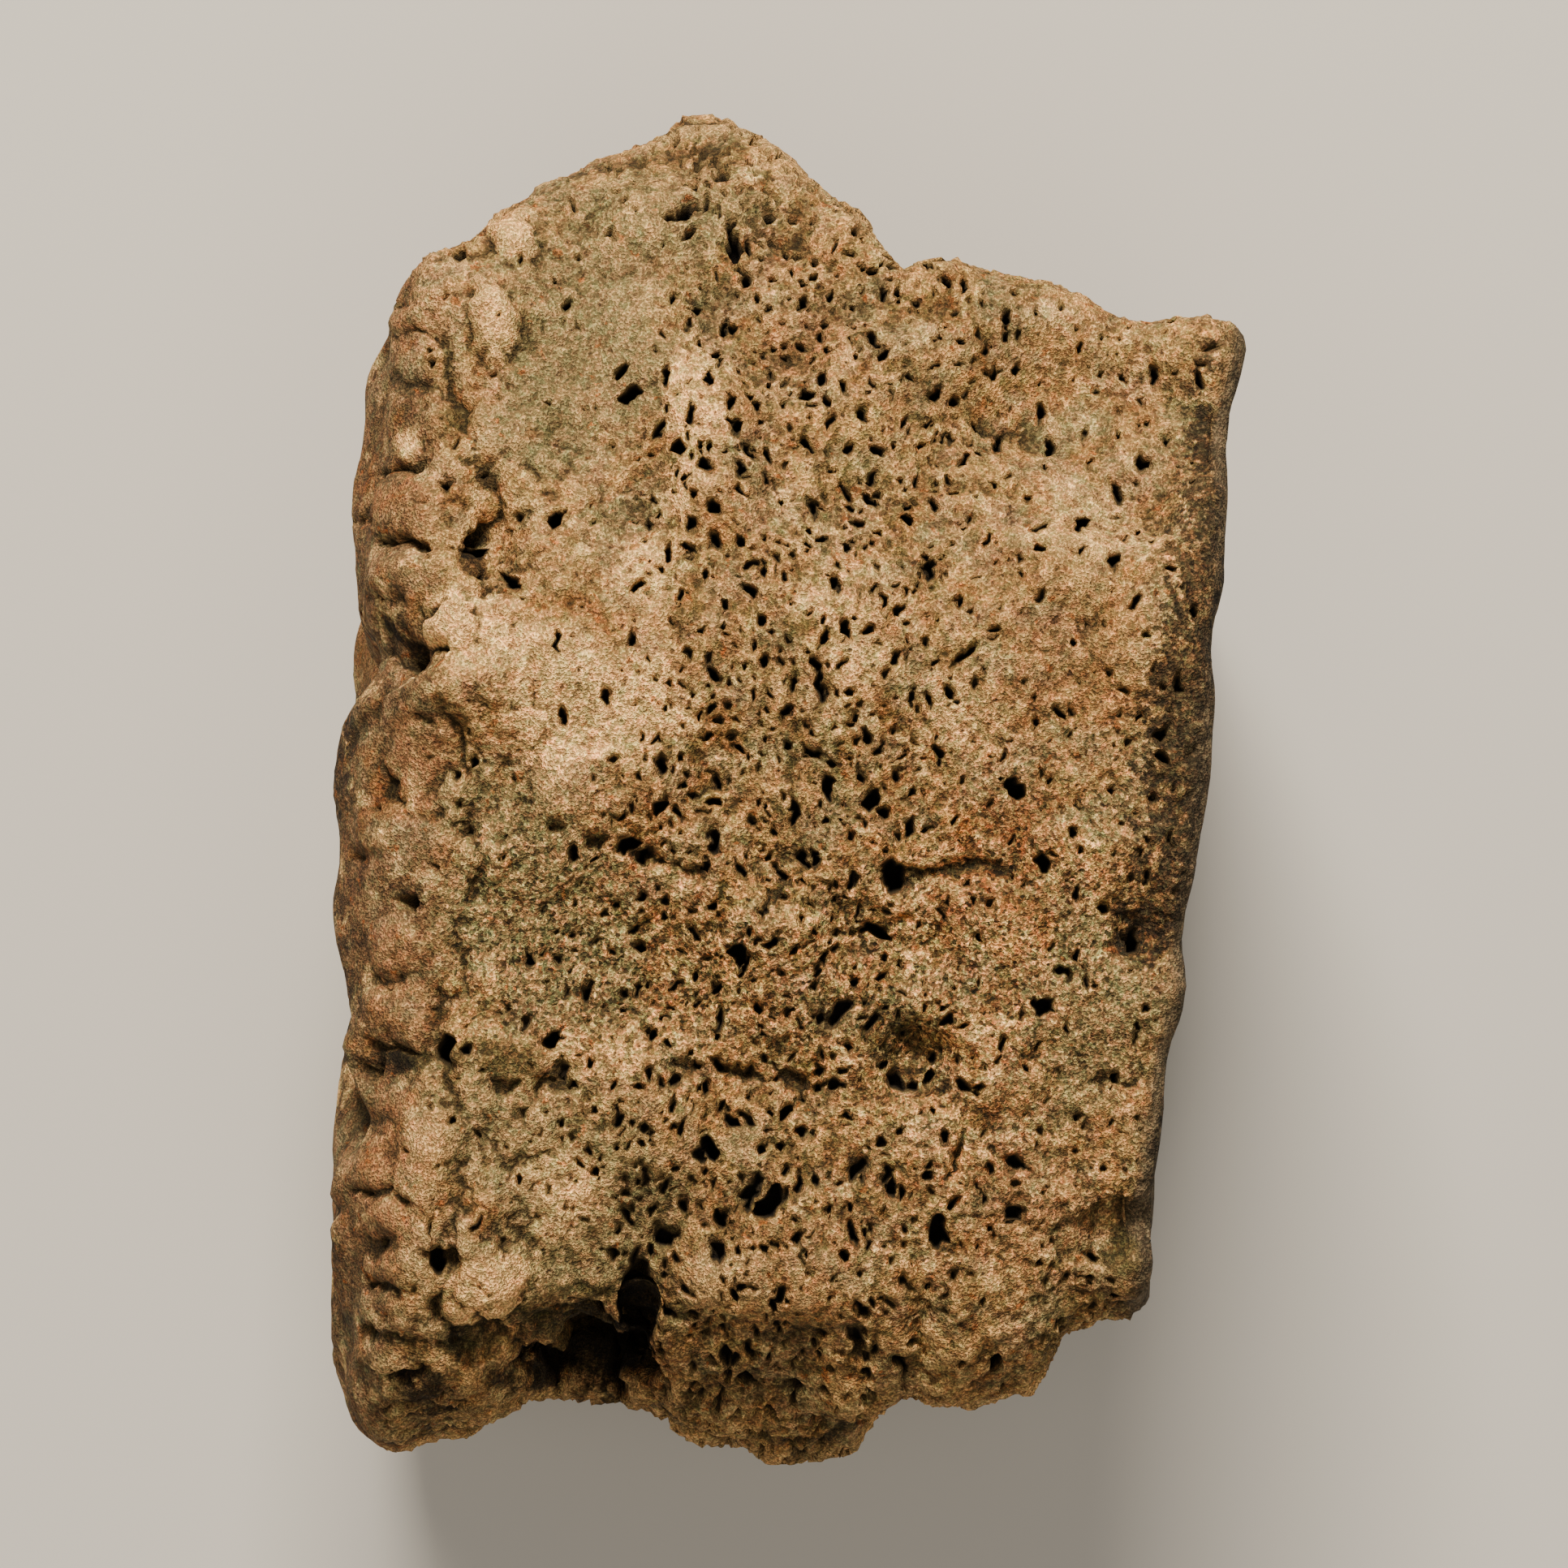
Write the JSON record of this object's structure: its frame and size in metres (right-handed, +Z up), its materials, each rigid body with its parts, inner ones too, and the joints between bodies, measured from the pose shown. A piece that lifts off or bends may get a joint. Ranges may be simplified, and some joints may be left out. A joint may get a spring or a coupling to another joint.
{
  "type": "fossil glyptodon scute",
  "caption": "Thick fossil bone tile of an armoured animal, resting on one edge: ridged outer face, smooth inner face and a porous broken edge facing up.",
  "frame": {"origin": "on the surface that it rests on, under the middle of the tile", "axes": "X through the tile's thickness, from the ornamented outer face at -X to the smooth inner face at +X; Y along its length; +Z up, towards the broken edge"},
  "size_m": [0.0423, 0.0628, 0.0511],
  "materials": {
    "fossil_bone": "matt, gritty, mineral stained bone"
  },
  "bodies": {
    "root": {"scute": "fossil_bone"}
  },
  "joints": []
}
